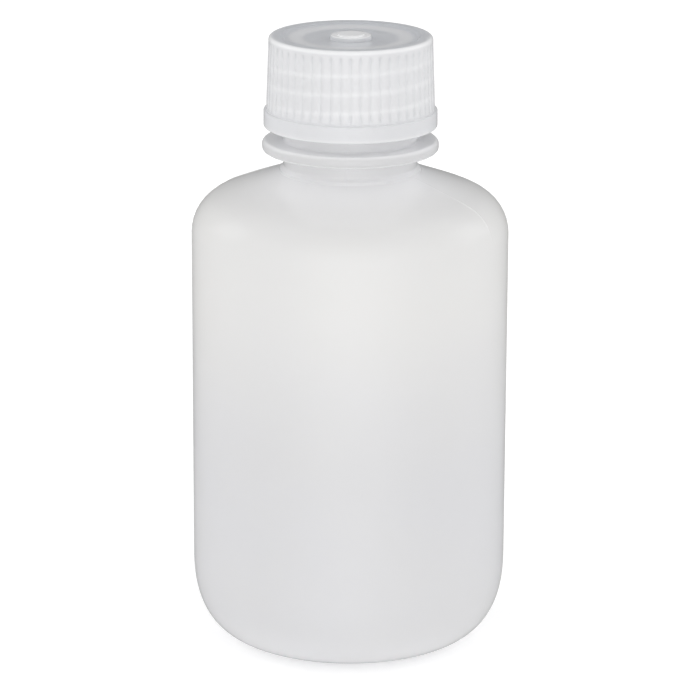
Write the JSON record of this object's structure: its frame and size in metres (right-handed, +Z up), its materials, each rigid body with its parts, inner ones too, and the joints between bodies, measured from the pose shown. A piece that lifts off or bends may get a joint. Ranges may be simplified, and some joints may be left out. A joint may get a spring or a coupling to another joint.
{
  "type": "reagent bottle",
  "caption": "Narrow-mouth translucent plastic reagent bottle with a round body, a carrying ring under the neck thread and a ribbed screw cap that unscrews and lifts off.",
  "frame": {"origin": "centre of the standing ring, on the surface the bottle stands on", "axes": "+Z up along the bottle's axis, towards the cap; X and Y are free, and the mould's parting plane is turned 27.5 degrees from +X towards -Y"},
  "size_m": [0.051, 0.051, 0.1],
  "materials": {
    "bottle_plastic": "translucent natural polyethylene, satin",
    "cap_plastic": "translucent natural polypropylene, satin",
    "disc_plastic": "soft white polyethylene, satin"
  },
  "bodies": {
    "bottle": {"bottle": "bottle_plastic"},
    "seal": {"sealing_disc": "disc_plastic"},
    "cap": {"screw_cap": "cap_plastic"}
  },
  "joints": [
    {"name": "seal_lift", "type": "slide", "parent": "bottle", "child": "seal", "axis": [0, 0, 1], "range_m": [0, 0.01505]},
    {"name": "cap_turn", "type": "hinge", "parent": "seal", "child": "cap", "pos_m": [0, 0, 0.0924], "axis": [0, 0, 1], "range_deg": [0, 1800]}
  ],
  "couplings": [
    {"joint": "seal_lift", "follows": "cap_turn", "m_per_rad": 0.00047746}
  ]
}
